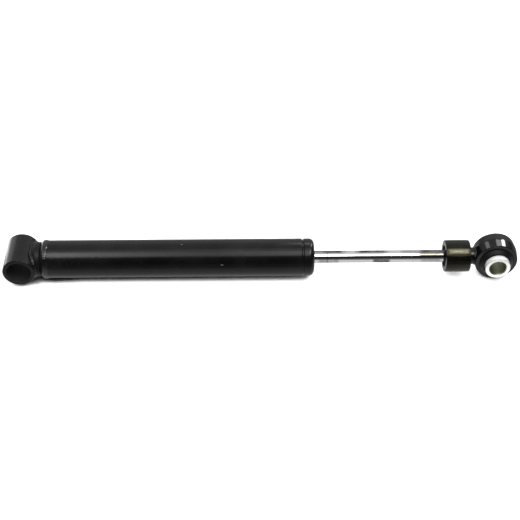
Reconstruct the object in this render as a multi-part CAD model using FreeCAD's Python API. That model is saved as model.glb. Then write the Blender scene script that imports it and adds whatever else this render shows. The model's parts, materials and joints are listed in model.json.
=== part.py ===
import FreeCAD, Part
import math
import os

# Twin-tube hydraulic shock absorber lying along +X. The origin is the centre of the lower eye,
# +Y runs along the bores of both eyes and +Z is up. Every size is in millimetres.

Vector = FreeCAD.Vector
along_x = Vector(1, 0, 0)
along_y = Vector(0, 1, 0)
along_z = Vector(0, 0, 1)

# Overall sizes
body_length = 296.0  # lower eye centre to the outer face of the tube's closed end
exposed_rod = 133.0  # bare rod between the tube's end and the bump stop
rebound_left = 25.5  # travel left before the rebound buffer meets the rod guide

# Tubes and rod
tube_d = 38.0
tube_wall = 1.5
bore_d = 25.0
bore_wall = 1.25
rod_d = 12.5
shank_d = 8.0  # threaded end of the rod, under the piston

# Lower eye: a plain cross tube
eye_d = 32.0
eye_bore_d = 25.0
eye_length = 42.0
eye_edge = 0.8

# Rod eye: ring, rubber bush and sleeve
ring_d = 44.8  # over the ridge
ring_wall = 4.6  # at the ridge
ring_width = 20.4
ring_slope = 6.8  # how far the ring's outside falls from the ridge to each edge, in degrees
ring_ridge_radius = 12.0
ring_edge = 0.6
bush_proud = 4.7  # rubber standing out of each side of the ring, at the sleeve
bush_fall = 3.4  # how much lower the rubber stands at its lip than at the sleeve
bush_lip_step = 0.75  # how much smaller the standing-out rubber is than the ring's bore, on the radius
bush_edge = 0.6
sleeve_d = 25.0
sleeve_bore_d = 16.5
sleeve_length = 40.0
sleeve_chamfer = 0.8
sleeve_outer_chamfer = 0.3

# Bump stop and neck
bump_d = 33.0
bump_length = 25.0
bump_edge = 0.8
neck_length = 4.4
neck_d = 17.2
neck_flare = 1.2

# Base cap and its welds
saddle_depth = 4.0
cap_floor = 3.0
cap_reveal = 8.3  # cap showing between the cross tube and the reserve tube
cap_engagement = 10.0
cap_wall = 3.0
cap_edge = 5.0  # rounding of the cap's closed end
cap_groove_width = 1.8
cap_groove_depth = 1.0
cap_groove_offset = 3.2  # groove centre ahead of the tube's end
weld_leg = 3.2
seam_lap = 4.1  # seam weld lying on the reserve tube
seam_toe = 2.1  # seam weld lying on the base cap
seam_height = 0.75

# Spun end and rolled groove of the reserve tube
spun_radius = 5.0
lip_reach = 3.75  # radial gap between the rod and the spun lip
groove_from_end = 11.4
groove_half_width = 1.3
groove_floor_half = 0.6
groove_depth = 1.0
groove_round = 0.5

# Foot valve
flange_thickness = 4.0
flange_gap = 0.3
spigot_height = 8.0
slot_count = 6
slot_width = 4.0
slot_depth = 2.0
foot_bolt_d = 5.0
foot_port_count = 6
intake_port_d = 2.2
intake_port_edge = 1.15  # metal between an intake port and the spigot's side
bleed_port_d = 2.0
foot_disc_thickness = 0.25
foot_disc_steps = (0.0, 0.0, 1.5, 3.0)  # how much smaller each shim is than the first, on the radius
foot_washer_d = 10.0
foot_washer_thickness = 1.2
foot_nut_flats = 8.0
foot_nut_height = 4.0
foot_bolt_stub = 1.0
foot_plate_thickness = 0.8
foot_plate_margin = 0.5
foot_spring_height = 3.2
foot_spring_wire = 0.6
foot_spring_turns = 2.0
foot_head_d = 18.0
foot_head_height = 3.0

# Rod guide, its bush and its seals
guide_over_groove = 2.3
guide_flange = 14.5
guide_spigot = 6.0
guide_bush_wall = 0.95
guide_bush_length = 13.0
guide_land = 1.0
guide_throat = 0.55
seal_depth = 6.0
seal_room = 4.75  # radial room for the seal between the rod and the guide
o_ring_section = 1.7
o_ring_from_top = 9.5
washer_thickness = 2.0
washer_throat = 2.0
closing_wall = 4.05
lip_width = 1.0
lip_relief = 0.9
lip_wall = 1.4
seal_web = 1.5
seal_rim = 1.3
wiper_proud = 0.6
garter_section = 1.1

# Piston, valves and rebound stop
piston_height = 14.0
piston_gap = 0.3
band_width = 8.0
band_thickness = 1.0
band_split = 1.0
band_split_angle = 45.0
port_count = 6
port_d = 2.0
port_edge = 0.7
bleed_d = 1.8
disc_thickness = 0.3
disc_steps = (0.0, 0.0, 1.2)
disc_margin = 0.2
seat_thickness = 2.0
seat_step = 0.5
rebound_spring_height = 8.5
rebound_spring_wire = 1.6
rebound_spring_turns = 3.5
rebound_spring_room = 1.9  # radial gap between the spring and the rod's shank
nut_flange_height = 1.5
nut_flange_margin = 0.8
nut_flats = 13.0
nut_height = 6.5
rod_stub = 1.5
plate_thickness = 0.8
plate_outer_margin = 0.7
plate_window_d = 2.0
hub_wall = 1.4
check_gap = 2.0  # space over the check plate, filled by its spring
check_spring_thickness = 0.4
check_spring_slots = 8
check_spring_slot_width = 0.8
stop_flange_height = 2.0
stop_flange_gap = 3.0  # radial gap between the stop and the bore
shoulder_land = 4.5
stop_ring_gap = 3.0
stop_ring_height = 3.0
stop_groove_depth = 0.75
buffer_gap = 2.0
buffer_height = 6.0
buffer_edge = 1.0

# Clearances
seat_gap = 0.05  # radial gap of seated pieces that don't move
running_gap = 0.05  # radial gap of what slides or turns
lift_gap = 0.02  # between a closed check plate and its seat
spring_gap = 0.05  # between a spring and what it pushes

# Radii worked out from the sizes above
tube_r = tube_d / 2
tube_inner_r = tube_r - tube_wall
bore_r = bore_d / 2
rod_r = rod_d / 2
shank_r = shank_d / 2
eye_r = eye_d / 2
ring_r = ring_d / 2
ring_inner_r = ring_r - ring_wall
sleeve_r = sleeve_d / 2
cap_r = tube_inner_r - seat_gap
spigot_r = bore_r - seat_gap
lip_hole_r = rod_r + lip_reach
seal_room_r = rod_r + seal_room
washer_hole_r = rod_r + washer_throat
closing_r = tube_inner_r - closing_wall
lip_r = rod_r + running_gap
foot_bolt_r = foot_bolt_d / 2
intake_port_r = spigot_r - intake_port_edge - intake_port_d / 2
foot_disc_r = intake_port_r - intake_port_d / 2 - disc_margin
bleed_port_r = (foot_bolt_r + foot_disc_r) / 2
foot_plate_r = intake_port_r + intake_port_d / 2 + foot_plate_margin
band_groove_r = bore_r - running_gap - band_thickness - running_gap
piston_port_r = band_groove_r - port_edge - port_d / 2
disc_r = piston_port_r - port_d / 2 - disc_margin
bleed_r = disc_r - disc_margin - bleed_d / 2 - disc_margin
hub_r = shank_r + hub_wall
rebound_spring_r = shank_r + rebound_spring_room + rebound_spring_wire / 2
seat_r = rebound_spring_r + rebound_spring_wire / 2 + seat_step
stop_flange_r = bore_r - stop_flange_gap
stop_ring_r = bore_r - stop_ring_gap
buffer_r = bore_r - buffer_gap

# Stations along the body
cap_face = eye_r - saddle_depth
cap_floor_x = eye_r + cap_floor
tube_start = eye_r + cap_reveal
cap_rim = tube_start + cap_engagement
valve_shoulder = cap_rim + flange_thickness
valve_top = valve_shoulder + spigot_height
foot_plate_top = valve_top + lift_gap + foot_plate_thickness
foot_head_x = foot_plate_top + foot_spring_height
foot_discs_bottom = cap_rim - foot_disc_thickness * len(foot_disc_steps)
foot_washer_bottom = foot_discs_bottom - foot_washer_thickness
foot_nut_bottom = foot_washer_bottom - foot_nut_height
lip_inner_x = body_length - tube_wall
groove_x = body_length - groove_from_end
guide_top = groove_x + guide_over_groove
guide_shoulder = guide_top - guide_flange
guide_bottom = guide_shoulder - guide_spigot
seal_floor = guide_top - seal_depth
washer_top = guide_top + washer_thickness

# Stations along the rod, as it stands at rest
buffer_top = guide_bottom - rebound_left
stop_top = buffer_top - buffer_height
stop_bottom = stop_top - stop_ring_height
shoulder_x = stop_bottom - shoulder_land
hub_top = shoulder_x - stop_flange_height
plate_top = hub_top - check_gap
piston_top = plate_top - plate_thickness - lift_gap
piston_bottom = piston_top - piston_height
discs_bottom = piston_bottom - disc_thickness * len(disc_steps)
seat_bottom = discs_bottom - seat_thickness
spring_bottom = seat_bottom - rebound_spring_height
nut_flange_bottom = spring_bottom - nut_flange_height
nut_bottom = nut_flange_bottom - nut_height
rod_tip = nut_bottom - rod_stub
bump_left = body_length + exposed_rod
bump_right = bump_left + bump_length
ring_left = bump_right + neck_length
rod_eye_x = ring_left + ring_r


def outline(corners):
    # Closed outline through (along, out) corners; a third number rounds that corner.
    points = [Vector(c[0], 0, c[1]) for c in corners]
    rounds = [c[2] if len(c) > 2 else 0.0 for c in corners]
    stops = []
    for i, corner in enumerate(points):
        if not rounds[i]:
            stops.append((corner, None, corner))
            continue
        back = (points[i - 1] - corner).normalize()
        ahead = (points[(i + 1) % len(points)] - corner).normalize()
        half = back.getAngle(ahead) / 2
        setback = rounds[i] / math.tan(half)
        middle = (back + ahead).normalize() * (rounds[i] / math.sin(half) - rounds[i])
        stops.append((corner + back * setback, corner + middle, corner + ahead * setback))
    edges = []
    for i, (start, middle, end) in enumerate(stops):
        if middle:
            edges.append(Part.Arc(start, middle, end).toShape())
        following = stops[(i + 1) % len(stops)][0]
        if end.distanceToPoint(following) > 1e-6:
            edges.append(Part.LineSegment(end, following).toShape())
    return Part.Face(Part.Wire(edges))


def turned(corners):
    # Solid of revolution about the damper's axis.
    return outline(corners).revolve(Vector(), along_x, 360)


def turned_about_eye(corners, centre_x):
    # Solid of revolution about an eye's axis, with its corners given along +Y.
    shape = turned(corners)
    shape.rotate(Vector(), along_z, 90)
    shape.translate(Vector(centre_x, 0, 0))
    return shape


def rod_between(radius, low, high):
    return Part.makeCylinder(radius, high - low, Vector(low, 0, 0), along_x)


def eye_cylinder(radius, length, centre_x):
    return Part.makeCylinder(radius, length, Vector(centre_x, -length / 2, 0), along_y)


def washer(inner_r, outer_r, low, high):
    return turned([(low, inner_r), (high, inner_r), (high, outer_r), (low, outer_r)])


def hexagon(flats, low, high):
    corner_r = flats / math.sqrt(3)
    angles = [math.radians(60 * i) for i in range(7)]
    points = [Vector(low, corner_r * math.cos(a), corner_r * math.sin(a)) for a in angles]
    return Part.Face(Part.makePolygon(points)).extrude(Vector(high - low, 0, 0))


def round_ports(count, circle_r, port_diameter, low, high):
    ports = []
    for i in range(count):
        angle = 2 * math.pi * i / count
        start = Vector(low, circle_r * math.cos(angle), circle_r * math.sin(angle))
        ports.append(Part.makeCylinder(port_diameter / 2, high - low, start, along_x))
    return Part.makeCompound(ports)


def coil(wire_d, radius, turns, low, high):
    # Round-wire coil between two planes.
    rise = high - low - wire_d
    path = Part.makeLongHelix(rise / turns, rise, radius)
    section = Part.Wire(Part.makeCircle(wire_d / 2, Vector(radius, 0, 0), along_y))
    shape = Part.Wire(path).makePipeShell([section], True, True)
    shape.rotate(Vector(), along_y, 90)
    shape.translate(Vector(low + wire_d / 2, 0, 0))
    return shape


def lower_eye():
    half = eye_length / 2
    bore_r_eye = eye_bore_d / 2
    corners = [
        (-half, bore_r_eye),
        (half, bore_r_eye),
        (half, eye_r, eye_edge),
        (-half, eye_r, eye_edge),
    ]
    return turned_about_eye(corners, 0)


def base_cap():
    groove_mid = tube_start - cap_groove_offset
    groove_low = groove_mid - cap_groove_width / 2
    groove_high = groove_mid + cap_groove_width / 2
    cavity_r = cap_r - cap_wall
    cap = turned(
        [
            (cap_face, 0),
            (cap_face, cap_r, cap_edge),
            (groove_low, cap_r),
            (groove_mid, cap_r - cap_groove_depth),
            (groove_high, cap_r),
            (cap_rim, cap_r),
            (cap_rim, cavity_r),
            (cap_floor_x, cavity_r, cap_wall),
            (cap_floor_x, 0),
        ]
    )
    return cap.cut(eye_cylinder(eye_r, eye_length, 0))


def eye_weld():
    near_cap = turned(
        [
            (cap_face - weld_leg, 0),
            (cap_face - weld_leg, cap_r + weld_leg, cap_edge + weld_leg),
            (tube_start - cap_groove_offset, cap_r + weld_leg),
            (tube_start - cap_groove_offset, 0),
        ]
    )
    near_eye = eye_cylinder(eye_r + weld_leg, eye_length - 2 * eye_edge, 0)
    bead = near_cap.common(near_eye).cut(base_cap())
    bead = bead.cut(rod_between(cap_r - cap_wall, cap_floor_x, cap_rim))
    return bead.cut(eye_cylinder(eye_r, eye_length, 0))


def seam_weld():
    crown_r = tube_r + seam_height
    corners = [
        (tube_start - seam_toe, cap_r),
        (tube_start - seam_toe / 2, tube_r - seam_height, seam_height / 2),
        (tube_start + seam_height / 2, crown_r, seam_height),
        (tube_start + seam_lap - seam_height, crown_r, seam_height),
        (tube_start + seam_lap, tube_r),
        (tube_start, tube_r),
        (tube_start, cap_r),
    ]
    return turned(corners)


def reserve_tube():
    def rolled(radius):
        return [
            (groove_x - groove_half_width, radius, groove_round),
            (groove_x - groove_floor_half, radius - groove_depth, groove_round),
            (groove_x + groove_floor_half, radius - groove_depth, groove_round),
            (groove_x + groove_half_width, radius, groove_round),
        ]

    corners = [(tube_start, tube_r)]
    corners += rolled(tube_r)
    corners += [
        (body_length, tube_r, spun_radius),
        (body_length, lip_hole_r),
        (lip_inner_x, lip_hole_r),
        (lip_inner_x, tube_inner_r, spun_radius - tube_wall),
    ]
    corners += rolled(tube_inner_r)[::-1]
    corners += [(tube_start, tube_inner_r)]
    return turned(corners)


def pressure_tube():
    return washer(bore_r, bore_r + bore_wall, valve_shoulder, guide_shoulder)


def foot_valve_body():
    flange_r = tube_inner_r - flange_gap
    body = turned(
        [
            (cap_rim, foot_bolt_r + seat_gap),
            (cap_rim, flange_r),
            (valve_shoulder, flange_r),
            (valve_shoulder, spigot_r),
            (valve_top, spigot_r),
            (valve_top, foot_bolt_r + seat_gap),
        ]
    )
    slot_start = cap_r - 2 * cap_wall
    for i in range(slot_count):
        slot = Part.makeBox(slot_depth, tube_r, slot_width, Vector(cap_rim, slot_start, -slot_width / 2))
        slot.rotate(Vector(), along_x, 360 * (i + 0.5) / slot_count)
        body = body.cut(slot)
    body = body.cut(round_ports(foot_port_count, intake_port_r, intake_port_d, cap_rim, valve_top))
    return body.cut(round_ports(foot_port_count, bleed_port_r, bleed_port_d, cap_rim, valve_top))


def foot_valve_bolt():
    shank = rod_between(foot_bolt_r, foot_nut_bottom - foot_bolt_stub, foot_head_x)
    head = rod_between(foot_head_d / 2, foot_head_x, foot_head_x + foot_head_height)
    return shank.fuse(head).removeSplitter()


def foot_valve_discs():
    discs = []
    top = cap_rim
    for step in foot_disc_steps:
        bottom = top - foot_disc_thickness
        discs.append(washer(foot_bolt_r + seat_gap, foot_disc_r - step, bottom, top))
        top = bottom
    return Part.makeCompound(discs)


def foot_valve_washer():
    return washer(foot_bolt_r + seat_gap, foot_washer_d / 2, foot_washer_bottom, foot_discs_bottom)


def foot_valve_nut():
    nut = hexagon(foot_nut_flats, foot_nut_bottom, foot_washer_bottom)
    return nut.cut(rod_between(foot_bolt_r + seat_gap, foot_nut_bottom, foot_washer_bottom))


def foot_check_plate():
    low = valve_top + lift_gap
    plate = washer(foot_bolt_r + running_gap, foot_plate_r, low, foot_plate_top)
    return plate.cut(round_ports(foot_port_count, bleed_port_r, bleed_port_d, low, foot_plate_top))


def foot_check_spring():
    radius = foot_head_d / 2 - foot_spring_wire
    low = foot_plate_top + spring_gap
    high = foot_head_x - spring_gap
    return coil(foot_spring_wire, radius, foot_spring_turns, low, high)


def rod_guide():
    flange_r = tube_inner_r - seat_gap
    notch_low = groove_x - groove_half_width - groove_round
    notch_high = groove_x + groove_half_width + groove_round
    notch_r = flange_r - groove_depth - seat_gap
    ring_mid = guide_top - o_ring_from_top
    ring_floor = flange_r - o_ring_section - seat_gap
    bush_r = rod_r + running_gap + guide_bush_wall + seat_gap
    land_x = seal_floor - guide_land
    corners = [
        (guide_bottom, bush_r),
        (guide_bottom, spigot_r),
        (guide_shoulder, spigot_r),
        (guide_shoulder, flange_r),
        (ring_mid - o_ring_section / 2 - seat_gap, flange_r),
        (ring_mid - o_ring_section / 2 - seat_gap, ring_floor),
        (ring_mid + o_ring_section / 2 + seat_gap, ring_floor),
        (ring_mid + o_ring_section / 2 + seat_gap, flange_r),
        (notch_low, flange_r),
        (notch_low + groove_round, notch_r),
        (notch_high - groove_round, notch_r),
        (notch_high, flange_r),
        (guide_top, flange_r),
        (guide_top, seal_room_r),
        (seal_floor, seal_room_r),
        (seal_floor, rod_r + guide_throat),
        (land_x, rod_r + guide_throat),
        (land_x, bush_r),
    ]
    return turned(corners)


def guide_bush():
    top = seal_floor - guide_land
    inner_r = rod_r + running_gap
    return washer(inner_r, inner_r + guide_bush_wall, top - guide_bush_length, top)


def guide_o_ring():
    section_r = o_ring_section / 2
    centre_r = tube_inner_r - seat_gap - section_r
    return Part.makeTorus(centre_r, section_r, Vector(guide_top - o_ring_from_top, 0, 0), along_x)


def oil_seal():
    room_r = seal_room_r - seat_gap
    neck_r = washer_hole_r - seat_gap
    flange_r = closing_r - seat_gap
    lip_start = seal_floor + lip_width
    lip_end = lip_start + lip_width
    corners = [
        (lip_start, lip_r),
        (lip_end, lip_r),
        (lip_end + lip_width, lip_r + lip_relief),
        (body_length - lip_width, lip_r + lip_relief),
        (body_length, lip_r),
        (body_length + wiper_proud, lip_r),
        (body_length + wiper_proud, lip_r + lip_wall),
        (body_length - wiper_proud, lip_hole_r - seat_gap),
        (lip_inner_x, lip_hole_r - seat_gap),
        (lip_inner_x, flange_r),
        (washer_top, flange_r),
        (washer_top, neck_r),
        (guide_top, neck_r),
        (guide_top, room_r),
        (seal_floor + lip_width / 2, room_r),
        (seal_floor + lip_width / 2, room_r - seal_rim),
        (guide_top - seal_web, room_r - seal_rim),
        (guide_top - seal_web, lip_r + lip_wall),
        (lip_start, lip_r + lip_wall),
    ]
    return turned(corners)


def garter_spring():
    section_r = garter_section / 2
    centre_r = lip_r + lip_wall + seat_gap + section_r
    return Part.makeTorus(centre_r, section_r, Vector(seal_floor + 2 * lip_width, 0, 0), along_x)


def seal_washer():
    return washer(washer_hole_r, tube_inner_r - seat_gap, guide_top, washer_top)


def closing_ring():
    corners = [
        (washer_top, closing_r),
        (lip_inner_x, closing_r),
        (lip_inner_x, tube_inner_r - seat_gap, spun_radius - tube_wall),
        (washer_top, tube_inner_r - seat_gap),
    ]
    return turned(corners)


def piston():
    body = turned(
        [
            (piston_bottom, shank_r + seat_gap),
            (piston_bottom, bore_r - piston_gap),
            (band_low() - running_gap, bore_r - piston_gap),
            (band_low() - running_gap, band_groove_r),
            (band_low() + band_width + running_gap, band_groove_r),
            (band_low() + band_width + running_gap, bore_r - piston_gap),
            (piston_top, bore_r - piston_gap),
            (piston_top, shank_r + seat_gap),
        ]
    )
    body = body.cut(round_ports(port_count, piston_port_r, port_d, piston_bottom, piston_top))
    return body.cut(round_ports(port_count, bleed_r, bleed_d, piston_bottom, piston_top))


def band_low():
    return (piston_bottom + piston_top - band_width) / 2


def piston_band():
    outer_r = bore_r - running_gap
    band = washer(outer_r - band_thickness, outer_r, band_low(), band_low() + band_width)
    split = Part.makeBox(2 * band_width, band_split, bore_d, Vector(-band_width, -band_split / 2, 0))
    split.rotate(Vector(), along_z, band_split_angle)
    split.translate(Vector(band_low() + band_width / 2, 0, 0))
    return band.cut(split)


def piston_rod():
    stop_groove_r = rod_r - stop_groove_depth
    shaft = turned(
        [
            (rod_tip, 0),
            (rod_tip, shank_r),
            (shoulder_x, shank_r),
            (shoulder_x, rod_r),
            (stop_bottom - seat_gap, rod_r),
            (stop_bottom - seat_gap, stop_groove_r),
            (stop_top + seat_gap, stop_groove_r),
            (stop_top + seat_gap, rod_r),
            (rod_eye_x, rod_r),
            (rod_eye_x, 0),
        ]
    )
    return shaft.cut(eye_cylinder(ring_r, ring_width, rod_eye_x))


def rebound_discs():
    discs = []
    top = piston_bottom
    for step in disc_steps:
        bottom = top - disc_thickness
        discs.append(washer(shank_r + seat_gap, disc_r - step, bottom, top))
        top = bottom
    return Part.makeCompound(discs)


def spring_seat():
    return washer(shank_r + seat_gap, seat_r, seat_bottom, discs_bottom)


def rebound_spring():
    low = spring_bottom + spring_gap
    high = seat_bottom - spring_gap
    return coil(rebound_spring_wire, rebound_spring_r, rebound_spring_turns, low, high)


def piston_nut():
    flange = rod_between(seat_r + nut_flange_margin, nut_flange_bottom, spring_bottom)
    nut = flange.fuse(hexagon(nut_flats, nut_bottom, nut_flange_bottom))
    return nut.cut(rod_between(shank_r + seat_gap, nut_bottom, spring_bottom)).removeSplitter()


def piston_check_plate():
    low = piston_top + lift_gap
    outer_r = piston_port_r + port_d / 2 + plate_outer_margin
    plate = washer(hub_r + running_gap, outer_r, low, plate_top)
    return plate.cut(round_ports(port_count, bleed_r, plate_window_d, low, plate_top))


def check_spring():
    # Coned washer: its outer rim stands on the plate, its inner rim under the stop's flange.
    low = plate_top + spring_gap
    high = hub_top - spring_gap
    inner_r = hub_r + hub_wall / 2
    spring = turned(
        [
            (low, stop_flange_r),
            (low + check_spring_thickness, stop_flange_r),
            (high, inner_r),
            (high - check_spring_thickness, inner_r),
        ]
    )
    slot_start = (stop_flange_r + inner_r) / 2
    for i in range(check_spring_slots):
        corner = Vector(low, slot_start, -check_spring_slot_width / 2)
        slot = Part.makeBox(check_gap, stop_flange_r, check_spring_slot_width, corner)
        slot.rotate(Vector(), along_x, 360 * i / check_spring_slots)
        spring = spring.cut(slot)
    return spring


def check_stop():
    return turned(
        [
            (piston_top, shank_r + seat_gap),
            (piston_top, hub_r),
            (hub_top, hub_r),
            (hub_top, stop_flange_r),
            (shoulder_x, stop_flange_r),
            (shoulder_x, shank_r + seat_gap),
        ]
    )


def stop_ring():
    return washer(rod_r - stop_groove_depth + seat_gap, stop_ring_r, stop_bottom, stop_top)


def rebound_buffer():
    inner_r = rod_r + seat_gap
    return turned(
        [
            (stop_top, inner_r),
            (buffer_top, inner_r),
            (buffer_top, buffer_r, buffer_edge),
            (stop_top, buffer_r, buffer_edge),
        ]
    )


def bump_stop():
    inner_r = rod_r + seat_gap
    outer_r = bump_d / 2
    return turned(
        [
            (bump_left, inner_r),
            (bump_left, outer_r, bump_edge),
            (bump_right, outer_r, bump_edge),
            (bump_right, inner_r),
        ]
    )


def ridged_ring(inner_r):
    # Two slopes meet over the middle, and the ridge's radius rounds them off to the ring's diameter.
    half = ring_width / 2
    slope = math.radians(ring_slope)
    peak_r = ring_r + ring_ridge_radius * (1 / math.cos(slope) - 1)
    rim_r = peak_r - half * math.tan(slope)
    corners = [
        (-half, inner_r),
        (half, inner_r),
        (half, rim_r, ring_edge),
        (0, peak_r, ring_ridge_radius),
        (-half, rim_r, ring_edge),
    ]
    return turned_about_eye(corners, rod_eye_x)


def rod_eye_weld():
    collar_r = neck_d / 2
    collar = turned(
        [
            (bump_right, rod_r),
            (bump_right, collar_r),
            (ring_left, collar_r, neck_length / 2),
            (ring_left + neck_flare, collar_r + neck_flare),
            (rod_eye_x, collar_r + neck_flare),
            (rod_eye_x, rod_r),
        ]
    )
    return collar.cut(ridged_ring(0))


def rod_eye_ring():
    return ridged_ring(ring_inner_r)


def eye_bush():
    half = ring_width / 2
    proud = half + bush_proud
    lip = proud - bush_fall
    outer_r = ring_inner_r - seat_gap
    lip_outer_r = outer_r - bush_lip_step
    inner_r = sleeve_r + running_gap
    corners = [
        (-proud, inner_r),
        (proud, inner_r),
        (lip, lip_outer_r, bush_edge),
        (half, lip_outer_r),
        (half, outer_r),
        (-half, outer_r),
        (-half, lip_outer_r),
        (-lip, lip_outer_r, bush_edge),
    ]
    return turned_about_eye(corners, rod_eye_x)


def eye_sleeve():
    half = sleeve_length / 2
    bore = sleeve_bore_d / 2
    corners = [
        (-half, bore + sleeve_chamfer),
        (-half + sleeve_chamfer, bore),
        (half - sleeve_chamfer, bore),
        (half, bore + sleeve_chamfer),
        (half, sleeve_r - sleeve_outer_chamfer),
        (half - sleeve_outer_chamfer, sleeve_r),
        (-half + sleeve_outer_chamfer, sleeve_r),
        (-half, sleeve_r - sleeve_outer_chamfer),
    ]
    return turned_about_eye(corners, rod_eye_x)


pieces = [
    lower_eye,
    eye_weld,
    base_cap,
    seam_weld,
    reserve_tube,
    pressure_tube,
    foot_valve_body,
    foot_valve_bolt,
    foot_valve_discs,
    foot_valve_washer,
    foot_valve_nut,
    foot_check_plate,
    foot_check_spring,
    rod_guide,
    guide_bush,
    guide_o_ring,
    oil_seal,
    garter_spring,
    seal_washer,
    closing_ring,
    piston_band,
    piston_rod,
    piston,
    rebound_discs,
    spring_seat,
    rebound_spring,
    piston_nut,
    piston_check_plate,
    check_spring,
    check_stop,
    stop_ring,
    rebound_buffer,
    bump_stop,
    rod_eye_weld,
    rod_eye_ring,
    eye_bush,
    eye_sleeve,
]

os.makedirs("parts", exist_ok=True)
for piece in pieces:
    shape = piece()
    shape.exportStep(f"parts/{piece.__name__}.step")
    print(piece.__name__, len(shape.Solids), round(shape.Volume, 2), shape.isValid())
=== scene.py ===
import json
import math

import bmesh
import bpy
from mathutils import Matrix, Vector, noise

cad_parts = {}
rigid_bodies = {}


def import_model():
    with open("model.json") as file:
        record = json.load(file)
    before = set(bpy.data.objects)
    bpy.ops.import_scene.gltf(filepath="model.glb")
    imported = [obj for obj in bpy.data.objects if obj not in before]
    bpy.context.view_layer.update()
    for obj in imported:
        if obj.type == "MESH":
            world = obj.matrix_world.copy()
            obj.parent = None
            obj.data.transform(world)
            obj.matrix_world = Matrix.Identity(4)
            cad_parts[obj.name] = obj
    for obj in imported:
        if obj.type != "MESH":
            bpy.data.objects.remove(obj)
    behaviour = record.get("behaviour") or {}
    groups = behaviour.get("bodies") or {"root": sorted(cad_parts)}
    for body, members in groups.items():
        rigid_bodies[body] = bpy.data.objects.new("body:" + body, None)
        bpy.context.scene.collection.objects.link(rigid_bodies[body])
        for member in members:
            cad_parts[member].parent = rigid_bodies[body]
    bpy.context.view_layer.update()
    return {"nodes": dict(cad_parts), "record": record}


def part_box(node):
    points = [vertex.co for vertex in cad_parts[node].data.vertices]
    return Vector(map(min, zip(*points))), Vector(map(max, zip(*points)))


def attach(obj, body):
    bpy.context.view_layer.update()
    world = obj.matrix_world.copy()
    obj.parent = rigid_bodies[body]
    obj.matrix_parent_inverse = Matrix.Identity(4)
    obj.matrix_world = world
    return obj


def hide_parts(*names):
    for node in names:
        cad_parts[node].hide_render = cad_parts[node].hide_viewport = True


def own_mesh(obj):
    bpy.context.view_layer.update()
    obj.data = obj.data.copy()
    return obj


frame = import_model()
nodes = frame["nodes"]
slotOf = {part["node"]: part["material_slot"] for part in frame["record"]["subparts"]}
scene = bpy.context.scene
scene.view_settings.view_transform = "Standard"
mm = 0.001
print("frame loaded:", len(nodes), "nodes")


def middleX(name):
    low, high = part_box(name)
    return (low.x + high.x) / 2


# camera: stands in front of the damper and looks down on it
cameraSettings = {
    "elevation": 41.33,  # degrees, as the next two
    "azimuth": 1.757,
    "roll": 0.699,
    "lens": 80.46,  # millimetres, as the sensor
    "sensor": 36,
    "nearest": 0.01,
    "distance": 1.1798,
    "target": (0.241, 0.0, 0.0),
    "aside": 0.51 * mm,
    "lift": -2.7 * mm,
}


def makeCamera(s):
    elevation, azimuth, roll = (math.radians(s[key]) for key in ("elevation", "azimuth", "roll"))
    ahead = Vector((
        math.sin(azimuth) * math.cos(elevation),
        math.cos(azimuth) * math.cos(elevation),
        -math.sin(elevation),
    ))
    level = Vector((math.cos(azimuth), -math.sin(azimuth), 0))
    above = level.cross(ahead)
    right = level * math.cos(roll) + above * math.sin(roll)
    up = above * math.cos(roll) - level * math.sin(roll)
    data = bpy.data.cameras.new("camera")
    data.lens = s["lens"]
    data.sensor_width = s["sensor"]
    data.clip_start = s["nearest"]
    camera = bpy.data.objects.new("camera", data)
    turn = Matrix((right, up, -ahead)).transposed().to_4x4()
    place = Vector(s["target"]) - ahead * s["distance"] + level * s["aside"] + above * s["lift"]
    camera.matrix_world = Matrix.Translation(place) @ turn
    scene.collection.objects.link(camera)
    scene.camera = camera


makeCamera(cameraSettings)
print("camera set")


# small helpers for node trees
softEdge = 0.3 * mm  # over which a bore's or an end's finish fades out


def newMaterial(name):
    material = bpy.data.materials.new(name)
    material.use_nodes = True
    tree = material.node_tree
    return material, tree, tree.nodes["Principled BSDF"]


def addNode(tree, kind, inputs=None, **settings):
    made = tree.nodes.new("ShaderNode" + kind)
    for key, value in settings.items():
        setattr(made, key, value)
    for key, value in (inputs or {}).items():
        if isinstance(value, bpy.types.NodeSocket):
            tree.links.new(value, made.inputs[key])
        else:
            made.inputs[key].default_value = value
    return made


def places(tree):
    return addNode(tree, "TexCoord").outputs["Object"]


def stretched(tree, scale):
    # object coordinates scaled apart, for grain that runs one way
    return addNode(tree, "Mapping", {"Vector": places(tree), "Scale": scale}).outputs["Vector"]


def grain(tree, vector, scale, detail, rough=0.5):
    made = addNode(tree, "TexNoise", {
        "Vector": vector, "Scale": scale, "Detail": detail, "Roughness": rough,
    })
    return made.outputs["Fac"]


def remap(tree, value, low, high, toLow, toHigh):
    made = addNode(tree, "MapRange", {
        "Value": value, "From Min": low, "From Max": high, "To Min": toLow, "To Max": toHigh,
    })
    return made.outputs["Result"]


def sums(tree, kind, a, b):
    return addNode(tree, "Math", {0: a, 1: b}, operation=kind).outputs["Value"]


def vectors(tree, kind, a, b=(0, 0, 0)):
    return addNode(tree, "VectorMath", {0: a, 1: b}, operation=kind).outputs


def tint(tree, amount, a, b):
    made = addNode(tree, "Mix", {"Factor": amount}, data_type="RGBA")
    for socket, value in ((made.inputs[6], a), (made.inputs[7], b)):
        if isinstance(value, bpy.types.NodeSocket):
            tree.links.new(value, socket)
        else:
            socket.default_value = (*value, 1)
    return made.outputs[2]


def relief(tree, shader, heights):
    # stacks bump maps, each given as its height and (strength, depth in metres)
    normal = None
    for height, (strength, depth) in heights:
        bump = addNode(tree, "Bump", {"Height": height, "Strength": strength, "Distance": depth})
        if normal:
            tree.links.new(normal, bump.inputs["Normal"])
        normal = bump.outputs["Normal"]
    tree.links.new(normal, shader.inputs["Normal"])


def along(tree, axis):
    split = addNode(tree, "SeparateXYZ", {"Vector": places(tree)})
    return split.outputs[axis]


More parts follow.
